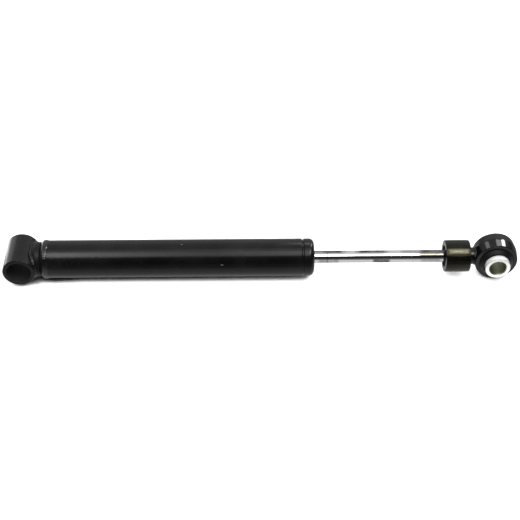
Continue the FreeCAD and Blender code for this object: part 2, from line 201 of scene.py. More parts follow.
def near(tree, value, middle, reach):
    # 1 at the middle, falling to 0 at the reach
    off = sums(tree, "ABSOLUTE", sums(tree, "SUBTRACT", value, middle), 0.0)
    return remap(tree, off, 0.0, reach, 1.0, 0.0)


def insideBore(tree, axisX, radius):
    # 1 inside a bore that runs along Y, and 0 past its edge
    off = vectors(tree, "SUBTRACT", places(tree), (axisX, 0, 0))["Vector"]
    across = vectors(tree, "MULTIPLY", off, (1, 0, 1))["Vector"]
    away = vectors(tree, "LENGTH", across)["Value"]
    return remap(tree, away, radius, radius + softEdge, 1.0, 0.0)


def speck(tree, point, radius, core=0.6):
    away = vectors(tree, "DISTANCE", places(tree), point)["Value"]
    return remap(tree, away, radius * core, radius, 1.0, 0.0)


# finishes: noise is given as (scale, detail), a bump as (strength, depth),
# and a pair named From holds the two noise values between which a mark comes in
paintSettings = {
    "black": (0.0034, 0.0034, 0.0036),
    "dusty": (0.0075, 0.0077, 0.0077),
    "cloud": (38, 4),
    "cloudFrom": (0.35, 0.75),
    "rough": (0.19, 0.26),
    "roughFrom": (0.3, 0.7),
    "shine": 0.24,
    "scuff": (3, 3),
    "scuffWay": (30, 260, 260),
    "scuffFrom": (0.6, 0.8),
    "scuffRough": 0.06,
    "dust": (0.2, 0.19, 0.17),
    "dustGrain": (1900, 0),
    "dustFrom": (0.74, 0.8),
    "dustShow": 0.35,
    "dustPatch": (55, 2),
    "dustPatchFrom": (0.45, 0.7),
    "dustRough": 0.4,
    "dustBump": (0.3, 0.08 * mm),
    "flow": (150, 2),
    "flowBump": (0.05, 0.4 * mm),
    "peel": (620, 1),
    "peelBump": (0.12, 0.12 * mm),
    "boreRadius": None,
}
ringPaintSettings = dict(paintSettings, rough=(0.07, 0.12), shine=0.27)
capPaintSettings = dict(paintSettings, rough=(0.38, 0.46), shine=0.2)
beadPaintSettings = dict(paintSettings, rough=(0.1, 0.16), shine=0.32)
seamPaintSettings = dict(beadPaintSettings, shine=0.5)
eyePaintSettings = dict(
    paintSettings,
    boreAxis=middleX("lower_eye"),
    boreRadius=12.6 * mm,
    boreLighter=(0.018, 0.0185, 0.018),
    boreRough=0.45,
)
tubeSpecks = [
    ((0.1629, -0.0011, 0.01896), 0.7 * mm),
    ((0.2023, -0.01796, 0.0062), 0.6 * mm),
    ((0.2033, -0.01803, 0.006), 0.6 * mm),
    ((0.2041, -0.01809, 0.0058), 0.5 * mm),
]


def blackPaint(name, s, specks=()):
    material, tree, shader = newMaterial(name)
    spot = places(tree)
    shader.inputs["Specular IOR Level"].default_value = s["shine"]
    cloud = grain(tree, spot, *s["cloud"])
    base = tint(tree, remap(tree, cloud, *s["cloudFrom"], 0.0, 1.0), s["black"], s["dusty"])
    scuffs = grain(tree, stretched(tree, s["scuffWay"]), *s["scuff"])
    worn = sums(tree, "ADD", remap(tree, cloud, *s["roughFrom"], *s["rough"]),
                remap(tree, scuffs, *s["scuffFrom"], 0.0, s["scuffRough"]))
    if s["boreRadius"]:
        # lighter and duller inside the bore
        inBore = insideBore(tree, s["boreAxis"], s["boreRadius"])
        base = tint(tree, inBore, base, s["boreLighter"])
        worn = sums(tree, "ADD", worn, sums(tree, "MULTIPLY", inBore, s["boreRough"]))
    fine = remap(tree, grain(tree, spot, *s["dustGrain"]), *s["dustFrom"], 0.0, s["dustShow"])
    patchy = remap(tree, grain(tree, spot, *s["dustPatch"]), *s["dustPatchFrom"], 0.0, 1.0)
    dust = sums(tree, "MULTIPLY", fine, patchy)
    for point, radius in specks:
        dust = sums(tree, "MAXIMUM", dust, speck(tree, point, radius))
    tree.links.new(tint(tree, dust, base, s["dust"]), shader.inputs["Base Color"])
    worn = sums(tree, "ADD", worn, sums(tree, "MULTIPLY", dust, s["dustRough"]))
    tree.links.new(worn, shader.inputs["Roughness"])
    relief(tree, shader, [
        (grain(tree, spot, *s["flow"]), s["flowBump"]),
        (grain(tree, spot, *s["peel"]), s["peelBump"]),
        (dust, s["dustBump"]),
    ])
    return material


# a smear is (middle along the rod, reach, strength), and a pair named Y or Z is where it comes in
chromeSettings = {
    "bright": (0.7, 0.7, 0.7),
    "rough": (0.05, 0.1),
    "roughFrom": (0.3, 0.7),
    "ground": (1, 2),
    "groundWay": (9000, 120, 120),
    "groundBump": (0.05, 0.02 * mm),
    "smear": (0.025, 0.025, 0.028),
    "smearFade": 0.4,
    "smearShine": 0.1,
    "smearRough": 0.12,
    "smearMetallic": 0.15,
    "metallicFrom": (0.3, 1.0),
    "topSmears": ((0.31, 0.021, 1.0), (0.355, 0.019, 1.0), (0.394, 0.011, 0.6), (0.4165, 0.018, 1.0)),
    "topY": (-2.4 * mm, -0.6 * mm),
    "topZ": (2.6 * mm, 4.2 * mm),
    "frontSmears": ((0.3645, 0.011, 0.85), (0.311, 0.014, 0.5), (0.4145, 0.014, 0.45), (0.362, 0.09, 0.22)),
    "frontY": (-1.0 * mm, -3.0 * mm),
    "frontZ": (2.6 * mm, 1.2 * mm),
    "broken": (1, 3),
    "brokenWay": (160, 420, 420),
    "brokenFrom": (0.38, 0.58),
    "brokenTo": (0.84, 1.0),
    # painted golden reflection: its colour, where along the rod it lies, and its height
    "paintedGoldReflection": (0.06, 0.053, 0.038),
    "paintedGoldReflectionAt": ((0.4165, 0.02, 1.0),),
    "paintedGoldReflectionZ": (3.0 * mm, 4.2 * mm),
    "mottled": (1, 3),
    "mottledWay": (420, 900, 900),
    "mottledFrom": (0.4, 0.62),
    "mottledTo": (0.93, 1.0),
    "mark": (0.05, 0.05, 0.05),
    "markX": 0.3095,
    "markReach": 0.9 * mm,
    "markGrain": (300, 1),
    "markFrom": (0.4, 0.6),
    "markTo": (0.2, 0.9),
}


def smears(tree, x, marks, fade):
    total = None
    for middle, reach, strength in marks:
        patch = remap(tree, near(tree, x, middle, reach), 0.0, fade, 0.0, strength)
        total = sums(tree, "MAXIMUM", total, patch) if total else patch
    return total


def hardChrome(s):
    material, tree, shader = newMaterial("hardChrome")
    shader.inputs["Specular IOR Level"].default_value = s["smearShine"]
    x, y, z = (along(tree, axis) for axis in "XYZ")
    # oily smears on the top and on the front
    onTop = remap(tree, y, *s["topY"], 0.0, 1.0)
    upThere = sums(tree, "MULTIPLY", onTop, remap(tree, z, *s["topZ"], 0.0, 1.0))
    inFront = sums(tree, "MULTIPLY", remap(tree, z, *s["frontZ"], 0.0, 1.0),
                   remap(tree, y, *s["frontY"], 0.0, 1.0))
    topFilm = sums(tree, "MULTIPLY", smears(tree, x, s["topSmears"], s["smearFade"]), upThere)
    frontFilm = sums(tree, "MULTIPLY", smears(tree, x, s["frontSmears"], s["smearFade"]), inFront)
    broken = grain(tree, stretched(tree, s["brokenWay"]), *s["broken"])
    filmAndPaintedHighlight = sums(tree, "MULTIPLY", sums(tree, "MAXIMUM", topFilm, frontFilm),
                remap(tree, broken, *s["brokenFrom"], *s["brokenTo"]))
    base = tint(tree, filmAndPaintedHighlight, s["bright"], s["smear"])
    # a painted golden reflection along the highlight band, in front of the last smear
    inBand = sums(tree, "MULTIPLY", sums(tree, "SUBTRACT", 1.0, onTop),
                  remap(tree, z, *s["paintedGoldReflectionZ"], 0.0, 1.0))
    paintedGold = sums(tree, "MULTIPLY", smears(tree, x, s["paintedGoldReflectionAt"], s["smearFade"]), inBand)
    mottled = grain(tree, stretched(tree, s["mottledWay"]), *s["mottled"])
    paintedGold = sums(tree, "MULTIPLY", paintedGold, remap(tree, mottled, *s["mottledFrom"], *s["mottledTo"]))
    base = tint(tree, paintedGold, base, s["paintedGoldReflection"])
    # a thin dark ring just out of the tube
    uneven = remap(tree, grain(tree, places(tree), *s["markGrain"]), *s["markFrom"], *s["markTo"])
    mark = sums(tree, "MULTIPLY", near(tree, x, s["markX"], s["markReach"]), uneven)
    tree.links.new(tint(tree, mark, base, s["mark"]), shader.inputs["Base Color"])
    metallic = remap(tree, filmAndPaintedHighlight, *s["metallicFrom"], 1.0, s["smearMetallic"])
    tree.links.new(metallic, shader.inputs["Metallic"])
    ground = grain(tree, stretched(tree, s["groundWay"]), *s["ground"])
    rough = sums(tree, "ADD", remap(tree, ground, *s["roughFrom"], *s["rough"]),
                 sums(tree, "MULTIPLY", filmAndPaintedHighlight, s["smearRough"]))
    tree.links.new(rough, shader.inputs["Roughness"])
    relief(tree, shader, [(ground, s["groundBump"])])
    return material


zincSettings = {
    "bright": (0.92, 0.92, 0.9),
    "dull": (0.78, 0.79, 0.75),
    "cloud": (210, 4, 0.6),
    "cloudFrom": (0.45, 0.8),
    "rough": (0.18, 0.26),
    "roughFrom": (0.3, 0.7),
    "sideMetallic": 0.2,
    "endDepth": 0.4 * mm,
    # the bore's tone is painted shade with an olive reflection tint
    "bore": (0.42, 0.43, 0.34),
    "boreRadius": 9.0 * mm,
    "boreRough": 0.14,
    "turned": (1, 2),
    "turnedWay": (150, 5000, 150),
    "turnedBump": (0.06, 0.03 * mm),
    "pitted": (900, 2),
    "pittedBump": (0.04, 0.03 * mm),
}


def brightZinc(s):
    material, tree, shader = newMaterial("brightZinc")
    spot = places(tree)
    cloud = grain(tree, spot, *s["cloud"])
    skinTone = tint(tree, remap(tree, cloud, *s["cloudFrom"], 0.0, 1.0), s["bright"], s["dull"])
    # painted shade in the bore: darker and olive
    inBore = insideBore(tree, middleX("eye_sleeve"), s["boreRadius"])
    tree.links.new(tint(tree, inBore, skinTone, s["bore"]), shader.inputs["Base Color"])
    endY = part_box("eye_sleeve")[1].y - s["endDepth"]
    outward = sums(tree, "ABSOLUTE", along(tree, "Y"), 0.0)
    atEnd = remap(tree, outward, endY, endY + softEdge, s["sideMetallic"], 1.0)
    tree.links.new(sums(tree, "MAXIMUM", atEnd, inBore), shader.inputs["Metallic"])
    worn = sums(tree, "ADD", remap(tree, cloud, *s["roughFrom"], *s["rough"]),
                sums(tree, "MULTIPLY", inBore, s["boreRough"]))
    tree.links.new(worn, shader.inputs["Roughness"])
    relief(tree, shader, [
        (grain(tree, stretched(tree, s["turnedWay"]), *s["turned"]), s["turnedBump"]),
        (grain(tree, spot, *s["pitted"]), s["pittedBump"]),
    ])
    return material


rubberSettings = {
    "deep": (0.0045, 0.0045, 0.0044),
    "bloom": (0.009, 0.0088, 0.008),
    "cloud": (120, 4, 0.6),
    "cloudFrom": (0.45, 0.8),
    "rough": (0.42, 0.5),
    "roughFrom": (0.3, 0.7),
    "shine": 0.2,
    "waxy": (1.0, 1.0, 1.0),
    "filmAndPaintedHighlight": None,
    "pores": (1400, 3),
    "poresBump": (0.1, 0.03 * mm),
    "swell": (260, 2),
    "swellBump": (0.03, 0.2 * mm),
}
stopRubberSettings = dict(
    rubberSettings,
    deep=(0.004, 0.004, 0.0039),
    bloom=(0.007, 0.0068, 0.006),
    rough=(0.1, 0.18),
    shine=0.24,
    waxy=(1.0, 0.97, 0.73),
    # the paler band along the upper front is a painted highlight, set where the overhead lamp's highlight
    # falls
    filmAndPaintedHighlight=(0.05, 0.045, 0.022),
    paintedHighlightWay=(0.0, -0.588, 0.809),
    paintedHighlightHeight=(15.65 * mm, 15.95 * mm),
    paintedHighlightFrom=(0.3, 0.6),
    paintedHighlightTo=(0.7, 1.0),
)
# end rubber with almost no shine, used for painted shade on the bump stop's end faces round the rod
endRubberSettings = dict(rubberSettings, rough=(0.7, 0.78), shine=0.01)


def blackRubber(name, s):
    material, tree, shader = newMaterial(name)
    spot = places(tree)
    shader.inputs["Specular IOR Level"].default_value = s["shine"]
    shader.inputs["Specular Tint"].default_value = (*s["waxy"], 1)
    cloud = grain(tree, spot, *s["cloud"])
    base = tint(tree, remap(tree, cloud, *s["cloudFrom"], 0.0, 1.0), s["deep"], s["bloom"])
    if s["filmAndPaintedHighlight"]:
        # a painted highlight: a paler band along the upper front, where the overhead lamp's highlight falls
        upFront = vectors(tree, "DOT_PRODUCT", spot, s["paintedHighlightWay"])["Value"]
        paintedHighlightBand = sums(tree, "MULTIPLY", remap(tree, upFront, *s["paintedHighlightHeight"], 0.0, 1.0),
                    remap(tree, cloud, *s["paintedHighlightFrom"], *s["paintedHighlightTo"]))
        base = tint(tree, paintedHighlightBand, base, s["filmAndPaintedHighlight"])
    tree.links.new(base, shader.inputs["Base Color"])
    tree.links.new(remap(tree, cloud, *s["roughFrom"], *s["rough"]), shader.inputs["Roughness"])
    relief(tree, shader, [
        (grain(tree, spot, *s["pores"]), s["poresBump"]),
        (grain(tree, spot, *s["swell"]), s["swellBump"]),
    ])
    return material


plainSteelSettings = {
    "colour": (0.55, 0.55, 0.54),
    "dark": (0.36, 0.35, 0.33),
    "metallic": 1,
    "cloud": (160, 4),
    "cloudFrom": (0.35, 0.7),
    "rough": (0.25, 0.4),
    "roughFrom": (0.3, 0.7),
    "lines": (1, 2),
    "linesWay": (4000, 200, 200),
    "linesBump": (0.15, 0.03 * mm),
    "pits": (1100, 2),
    "pitsBump": (0.1, 0.03 * mm),
}
springSteelSettings = dict(
    plainSteelSettings,
    colour=(0.34, 0.35, 0.38),
    dark=(0.2, 0.2, 0.23),
    rough=(0.3, 0.45),
    linesWay=(300, 900, 900),
)
sinteredIronSettings = dict(
    plainSteelSettings,
    colour=(0.27, 0.27, 0.27),
    dark=(0.15, 0.15, 0.15),
    rough=(0.45, 0.6),
    linesWay=(1500, 1500, 1500),
    linesBump=(0.15, 0.1 * mm),
    pitsBump=(0.1, 0.1 * mm),
)
bearingBronzeSettings = dict(
    plainSteelSettings,
    colour=(0.55, 0.42, 0.25),
    dark=(0.4, 0.29, 0.16),
    rough=(0.3, 0.45),
    linesWay=(3500, 150, 150),
)
filledPlasticSettings = dict(
    plainSteelSettings,
    colour=(0.2, 0.15, 0.1),
    dark=(0.13, 0.09, 0.06),
    metallic=0,
    rough=(0.4, 0.55),
    linesWay=(2500, 200, 200),
)


def worked(name, s):
    # the oiled inner pieces, with machining lines one way and a cloudy film
    material, tree, shader = newMaterial(name)
    spot = places(tree)
    shader.inputs["Metallic"].default_value = s["metallic"]
    cloud = grain(tree, spot, *s["cloud"])
    base = tint(tree, remap(tree, cloud, *s["cloudFrom"], 0.0, 1.0), s["colour"], s["dark"])
    tree.links.new(base, shader.inputs["Base Color"])
    tree.links.new(remap(tree, cloud, *s["roughFrom"], *s["rough"]), shader.inputs["Roughness"])
    relief(tree, shader, [
        (grain(tree, stretched(tree, s["linesWay"]), *s["lines"]), s["linesBump"]),
        (grain(tree, spot, *s["pits"]), s["pitsBump"]),
    ])
    return material


finishes = {
    "black_paint": blackPaint("blackPaint", paintSettings),
    "hard_chrome": hardChrome(chromeSettings),
    "bright_zinc": brightZinc(zincSettings),
    "black_rubber": blackRubber("blackRubber", rubberSettings),
    "plain_steel": worked("plainSteel", plainSteelSettings),
    "spring_steel": worked("springSteel", springSteelSettings),
    "sintered_iron": worked("sinteredIron", sinteredIronSettings),
    "bearing_bronze": worked("bearingBronze", bearingBronzeSettings),
    "filled_plastic": worked("filledPlastic", filledPlasticSettings),
}
ownPaints = {
    "reserve_tube": blackPaint("tubePaint", paintSettings, tubeSpecks),
    "rod_eye_ring": blackPaint("ringPaint", ringPaintSettings),
    "base_cap": blackPaint("capPaint", capPaintSettings),
    "lower_eye": blackPaint("eyePaint", eyePaintSettings),
}
beadPaint = blackPaint("beadPaint", beadPaintSettings)
seamPaint = blackPaint("seamPaint", seamPaintSettings)
# rubber of the bump stop, with a painted highlight along its upper front
waxyRubberPaintedHighlight = blackRubber("waxyRubberPaintedHighlight", stopRubberSettings)
endRubber = blackRubber("endRubber", endRubberSettings)
for name, node in nodes.items():
    node.data.materials.clear()
    node.data.materials.append(ownPaints.get(name, finishes[slotOf[name]]))
print("finishes on", len(nodes), "nodes")


# mesh helpers
def softOutline(corners, steps):
    # closed outline through (along, out, rounding) corners
    outline = []
    for i, (a, r, rounding) in enumerate(corners):
        here = Vector((a, r))
        back = (Vector(corners[i - 1][:2]) - here).normalized()
        ahead = (Vector(corners[(i + 1) % len(corners)][:2]) - here).normalized()
        if not rounding:
            outline.append(here)
            continue
        half = back.angle(ahead) / 2
        start = here + back * (rounding / math.tan(half))
        end = here + ahead * (rounding / math.tan(half))
        centre = here + (back + ahead).normalized() * (rounding / math.sin(half))
        sweep = (start - centre).angle_signed(end - centre)
        for k in range(steps + 1):
            turn = Matrix.Rotation(-sweep * k / steps, 2)
            outline.append(centre + turn @ (start - centre))
    return outline


def aroundX(x, radius, angle):
    return Vector((x, radius * math.cos(angle), radius * math.sin(angle)))


def skin(name, rows, material, body, slot, *stoodFor):
    # closed skin over rings of points, ring to ring and round again
    count, width = len(rows), len(rows[0])
    faces = []
    for i in range(count):
        for j in range(width):
            ahead, beside = (i + 1) % count, (j + 1) % width
            faces.append((i * width + j, ahead * width + j, ahead * width + beside, i * width + beside))
    mesh = bpy.data.meshes.new(name)
    mesh.from_pydata([p for row in rows for p in row], [], faces)
    shell = bmesh.new()
    shell.from_mesh(mesh)
    bmesh.ops.recalc_face_normals(shell, faces=shell.faces)
    shell.to_mesh(mesh)
    shell.free()
    mesh.polygons.foreach_set("use_smooth", [True] * len(mesh.polygons))
    mesh.materials.append(material)
    piece = bpy.data.objects.new(name, mesh)
    scene.collection.objects.link(piece)
    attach(piece, body)
    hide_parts(*stoodFor)
    print(name, "made,", len(faces), "faces")
    return piece


def wobble(seed, *values):
    return noise.noise(Vector((seed, 0, 0)) + Vector(values))


def waver(s, angle, share):
    # slow unevenness round an axis and along it
    turn = s["waverRound"]
    return wobble(s["seed"], turn * math.cos(angle), turn * math.sin(angle), s["waverAlong"] * share)


rippleSettings = {
    "trail": 0.35,
    "uneven": 0.25,
    "unevenScale": 0.4,
    "roundness": 0.7,
}


def ripple(travel, across, seed, s=rippleSettings):
    # one weld ripple a unit of travel, each a crescent that trails at the edges
    uneven = wobble(seed, travel * s["unevenScale"], 0, 0)
    phase = travel + s["trail"] * across * across + s["uneven"] * uneven
    return math.sin(math.pi * (phase % 1.0)) ** s["roundness"]


# bump stop: a moulded rubber roller on the rod
bumpSettings = {
    "segments": 144,
    "roundSteps": 7,
    "loops": 6,
    "holeGap": 0.05 * mm,
    "holeEdge": 0.7 * mm,
    "edge": 0.8 * mm,
    "bulge": 0.22 * mm,
    "bulgePower": 4,
    "waver": 0.06 * mm,
    "waverRound": 2,
    "waverAlong": 3,
    "seed": 3,
    "flash": 0.14 * mm,
    "flashPower": 6,
    "flashWidth": 0.05,
    "flashAngles": (0.6, 0.6 + math.pi),
    "faceTurn": 0.93,
    "paintedShadeRadius": 10.5 * mm,
}


def makeBumpStop(s):
    low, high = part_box("bump_stop")
    middle, half = middleX("bump_stop"), (high.x - low.x) / 2
    outer = high.z - s["bulge"] - s["flash"]
    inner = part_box("piston_rod")[1].z + s["holeGap"]
    loops = s["loops"]
    sideSteps = [(middle + half * k / loops, outer, 0.0) for k in range(2 - loops, loops - 1)]
    faceSteps = [inner + (outer - inner) * k / loops for k in range(1, loops)]
    corners = [(low.x, inner, s["holeEdge"])]
    corners += [(low.x, r, 0.0) for r in faceSteps]
    corners += [(low.x, outer, s["edge"])]
    corners += sideSteps
    corners += [(high.x, outer, s["edge"])]
    corners += [(high.x, r, 0.0) for r in reversed(faceSteps)]
    corners += [(high.x, inner, s["holeEdge"])]
    outline = softOutline(corners, s["roundSteps"])
    rows = []
    for i in range(s["segments"]):
        angle = 2 * math.pi * i / s["segments"]
        ring = []
        for point in outline:
            share = (point.x - middle) / half
            out = max(0.0, min(1.0, (point.y - inner) / (outer - inner)))
            radius = point.y + s["bulge"] * out ** s["bulgePower"] * (1 - share * share)
            radius += s["waver"] * out * waver(s, angle, share)
            for line in s["flashAngles"]:
                off = math.remainder(angle - line, 2 * math.pi) / s["flashWidth"]
                radius += s["flash"] * out ** s["flashPower"] * math.exp(-off * off)
            ring.append(aroundX(point.x, radius, angle))
        rows.append(ring)
    stop = skin("bump_stop_rubber", rows, waxyRubberPaintedHighlight, "rod", "black_rubber", "bump_stop")
    stop.data.materials.append(endRubber)
    for face in stop.data.polygons:
        # the end faces are dull and dark round the rod: painted shade where the rod goes into the rubber
        radius = math.hypot(face.center.y, face.center.z)
        if abs(face.normal.x) > s["faceTurn"] and radius < s["paintedShadeRadius"]:
            face.material_index = 1


makeBumpStop(bumpSettings)


# bush of the rod eye: rubber lips that stand out of the ring round the sleeve
bushSettings = {
    "segments": 128,
    "roundSteps": 6,
    "hug": 0.09 * mm,
    "tuck": 0.6 * mm,
    "rimOut": 0.1 * mm,
    "rimIn": 0.2 * mm,
    "grooveOut": 0.25 * mm,
    "undercut": 0.3 * mm,
    "smallRound": 0.1 * mm,
    "lipStand": 1.3 * mm,
    "lipStep": 0.75 * mm,
    "lipRound": 0.5 * mm,
    "crest": 0.25 * mm,
    "crestOut": 1.5 * mm,
    "crestRound": 1.2 * mm,
    "nose": 0.05 * mm,
    "noseOut": 0.4 * mm,
    "noseRound": 0.2 * mm,
    "innerDrop": 0.45 * mm,
    "waver": 0.05 * mm,
    "waverRound": 3,
    "waverAlong": 90,
    "seed": 8,
}


def makeEyeBush(s):
    low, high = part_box("eye_bush")
    sleeveLow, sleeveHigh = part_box("eye_sleeve")
    centre = middleX("eye_sleeve")
    inner = (sleeveHigh.z - sleeveLow.z) / 2 + s["hug"]
    outer = (high.z - low.z) / 2
    lipOuter = outer - s["lipStep"]
    proud, edge = high.y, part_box("rod_eye_ring")[1].y
    side = [
        (edge - s["tuck"], outer, 0.0),
        (edge + s["rimOut"], outer - s["rimIn"], s["smallRound"]),
        (edge + s["grooveOut"], lipOuter - s["undercut"], s["smallRound"]),
        (edge + s["lipStand"], lipOuter, s["lipRound"]),
        (proud - s["crest"], inner + s["crestOut"], s["crestRound"]),
        (proud - s["nose"], inner + s["noseOut"], s["noseRound"]),
        (proud - s["innerDrop"], inner, 0.0),
    ]
    corners = [(-a, r, rounding) for a, r, rounding in reversed(side)] + side
    outline = softOutline(corners, s["roundSteps"])
    rows = []
    for i in range(s["segments"]):
        angle = 2 * math.pi * i / s["segments"]
        ring = []
        for point in outline:
            uneven = s["waver"] * waver(s, angle, point.x) if abs(point.x) > edge else 0.0
            radius = max(inner, point.y + uneven)
            x, z = centre + radius * math.cos(angle), radius * math.sin(angle)
            ring.append(Vector((x, point.x + uneven, z)))
        rows.append(ring)
    skin("eye_bush_rubber", rows, finishes["black_rubber"], "rod", "black_rubber", "eye_bush")


makeEyeBush(bushSettings)


# weld round the foot of the cross tube, laid into the corner between tube and cap
eyeWeldSettings = {
    "dome": 5 * mm,
    "flankLean": (0.35, 0.9),
    "crossLean": (-0.1, 0.25),
    "stepsPerSide": 150,
    "smooth": 9,
    "section": 22,
    "bead": 2.6 * mm,
    "sizeWaver": 0.1,
    "sizeScale": 160,
    "sizeSeed": 5,
    "wander": 0.35 * mm,
    "wanderScale": 110,
    "wanderSeed": 6,
    "stand": 0.6 * mm,
    "buried": 0.9 * mm,
    "period": 2.1 * mm,
    "ripple": 0.26 * mm,
    "rippleSeed": 7,
}


def eyeWeldLine(s):
    # follows the cap's rounded end down both flanks of the cross tube, and crosses over and under it
    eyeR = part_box("lower_eye")[1].z
    capLow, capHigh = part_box("base_cap")
    capFace, capR = capLow.x, capHigh.z
    dome, steps = s["dome"], s["stepsPerSide"]
    top = math.sqrt(eyeR ** 2 - capFace ** 2)
    ahead, aside = s["flankLean"]
    back, spread = s["crossLean"]
    line = []
    for side in (1, -1):
        for k in range(steps):
            z = side * top * (1 - 2 * k / steps)
            x = math.sqrt(eyeR ** 2 - z ** 2)
            below = max(0.0, capFace + dome - x)
            domeR = capR - dome + math.sqrt(max(dome ** 2 - below ** 2, 0.0))
            y = side * math.sqrt(max(domeR ** 2 - z ** 2, 0.0))
            outward = Vector((ahead, aside * y / capR, aside * z / capR)).normalized()
            line.append((Vector((x, y, z)), outward))
        flank = line[-1][0].y
        for k in range(1, steps // 2):
            y = flank * (1 - 4 * k / steps)
            outward = Vector((back, spread * y / flank, -side)).normalized()
            line.append((Vector((capFace, y, -side * top)), outward))
    return line


def smoothed(line, i, reach):
    # mean place and mean outward way of the points near number i
    spread = [line[(i + k) % len(line)] for k in range(-reach, reach + 1)]
    place = sum((p for p, _ in spread), Vector()) / len(spread)
    outward = sum((o for _, o in spread), Vector()).normalized()
    return place, outward


def makeEyeWeld(s):
    line = eyeWeldLine(s)
    rows = []
    travel = 0.0
    for i in range(len(line)):
        middle, outward = smoothed(line, i, s["smooth"])
        following, _ = smoothed(line, i + 1, s["smooth"])
        tangent = (following - middle).normalized()
        outward = (outward - tangent * outward.dot(tangent)).normalized()
        sideways = tangent.cross(outward)
        travel += (following - middle).length
        size = s["bead"] * (1 + s["sizeWaver"] * wobble(s["sizeSeed"], travel * s["sizeScale"], 0, 0))
        wander = s["wander"] * wobble(s["wanderSeed"], travel * s["wanderScale"], 0, 0)
        middle = middle + outward * s["stand"] + sideways * wander
        ring = []
        for j in range(s["section"]):
            angle = 2 * math.pi * j / s["section"]
            up, across = math.cos(angle), math.sin(angle)
            crest = s["ripple"] * max(0.0, up) * ripple(travel / s["period"], across, s["rippleSeed"])
            height = max(up * size, -s["buried"]) + crest
            ring.append(middle + outward * height + sideways * across * size)
        rows.append(ring)
    skin("eye_weld_bead", rows, beadPaint, "cylinder", "black_paint", "eye_weld")


makeEyeWeld(eyeWeldSettings)


# ring weld between cap and tube: two passes side by side
seamWeldSettings = {
    "segments": 480,
    "steps": 26,
    "passes": ((0.24, 0.24, 0.8), (0.66, 0.3, 1.0)),  # middle, half width and height as shares
    "rampShare": 0.34,
    "ripples": 58,
    "ripple": 0.13 * mm,
    "waver": 0.1 * mm,
    "waverRound": 4,
    "waverAlong": 5,
    "seed": 11,
    "tuck": 0.5 * mm,
    "sunk": 0.3 * mm,
}


def makeSeamWeld(s):
    low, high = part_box("seam_weld")
    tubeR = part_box("reserve_tube")[1].z
    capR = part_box("base_cap")[1].z
    crown = high.z - s["ripple"] - s["waver"]
    rows = []
    for i in range(s["segments"]):
        angle = 2 * math.pi * i / s["segments"]
        travel = s["ripples"] * i / s["segments"]
        ring = []
        for j in range(s["steps"] + 1):
            share = j / s["steps"]
            ground = capR + (tubeR - capR) * min(1.0, share / s["rampShare"])
            height = 0.0
            for middle, width, tall in s["passes"]:
                off = (share - middle) / width
                if abs(off) >= 1:
                    continue
                hump = tall * math.sqrt(1 - off * off) * (crown - tubeR)
                crest = s["ripple"] * (1 - off * off) * ripple(travel, off, middle)
                height = max(height, hump + crest)
            height += s["waver"] * waver(s, angle, share) * math.sin(math.pi * share)
            x = low.x + (high.x - low.x) * share
            ring.append(aroundX(x, ground + max(0.0, height), angle))
        for x in (high.x - s["tuck"], low.x + s["tuck"]):
            ring.append(aroundX(x, capR - s["sunk"], angle))
        rows.append(ring)
    skin("seam_weld_bead", rows, seamPaint, "cylinder", "black_paint", "seam_weld")


makeSeamWeld(seamWeldSettings)


# neck of the rod eye: a collar that flares onto the ring in one weld bead
neckSettings = {
    "segments": 220,
    "steps": 20,
    "collar": 8.6 * mm,
    "collarRound": 0.5 * mm,
    "ridgeFall": 1.2 * mm,
    "bead": 1.6 * mm,
    "overlap": 0.5 * mm,
    "dome": 0.27 * mm,
    "flare": 0.7 * mm,
    "flarePower": 1.6,
    "ripples": 26,
    "ripple": 0.16 * mm,
    "seed": 21,
    "buriedOut": 0.8 * mm,
    "buriedIn": 0.4 * mm,
}


def makeNeck(s):
    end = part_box("rod_eye_weld")[0].x
    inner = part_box("piston_rod")[1].z
    ringLow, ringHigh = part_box("rod_eye_ring")
    ringR = (ringHigh.z - ringLow.z) / 2
    centre = middleX("rod_eye_ring")
    collar, rounding = s["collar"], s["collarRound"]
    rows = []
    for i in range(s["segments"]):
        angle = 2 * math.pi * i / s["segments"]
        travel = s["ripples"] * i / s["segments"]
        aside = abs(collar * math.cos(angle)) / ringHigh.y
        slopeR = ringR - s["ridgeFall"] * aside
        touch = centre - math.sqrt(slopeR ** 2 - (collar * math.sin(angle)) ** 2)
        start = touch - s["bead"]
        outline = [
            (end, inner),
            (end, collar - rounding),
            (end + rounding, collar),
            (end + 2 * rounding, collar),
            (start - rounding / 2, collar),
        ]
        for j in range(s["steps"] + 1):
            share = j / s["steps"]
            off = 2 * share - 1
            radius = collar + s["flare"] * share ** s["flarePower"]
            radius += s["dome"] * math.sqrt(max(0.0, 1 - off * off))
            radius += s["ripple"] * (1 - off * off) * ripple(travel, off, s["seed"])
            outline.append((start + share * (s["bead"] + s["overlap"]), radius))
        outline.append((touch + s["buriedOut"], collar))
        outline.append((touch + s["buriedIn"], inner))
        rows.append([aroundX(x, radius, angle) for x, radius in outline])
    skin("rod_eye_neck", rows, finishes["black_paint"], "rod", "black_paint", "rod_eye_weld")


makeNeck(neckSettings)


def makeSpring(joint):
    deforming = joint["deforming_nodes"][0]
    name, fixedX = deforming["node"], deforming["fixed_end_x_m"]
    coils = bpy.data.objects.new(name + "_coils", nodes[name].data.copy())
    scene.collection.objects.link(coils)
    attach(coils, joint["parent"])
    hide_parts(name)
    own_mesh(coils)


for joint in frame["record"]["behaviour"]["joints"]:
    if "deforming_nodes" in joint:
        makeSpring(joint)


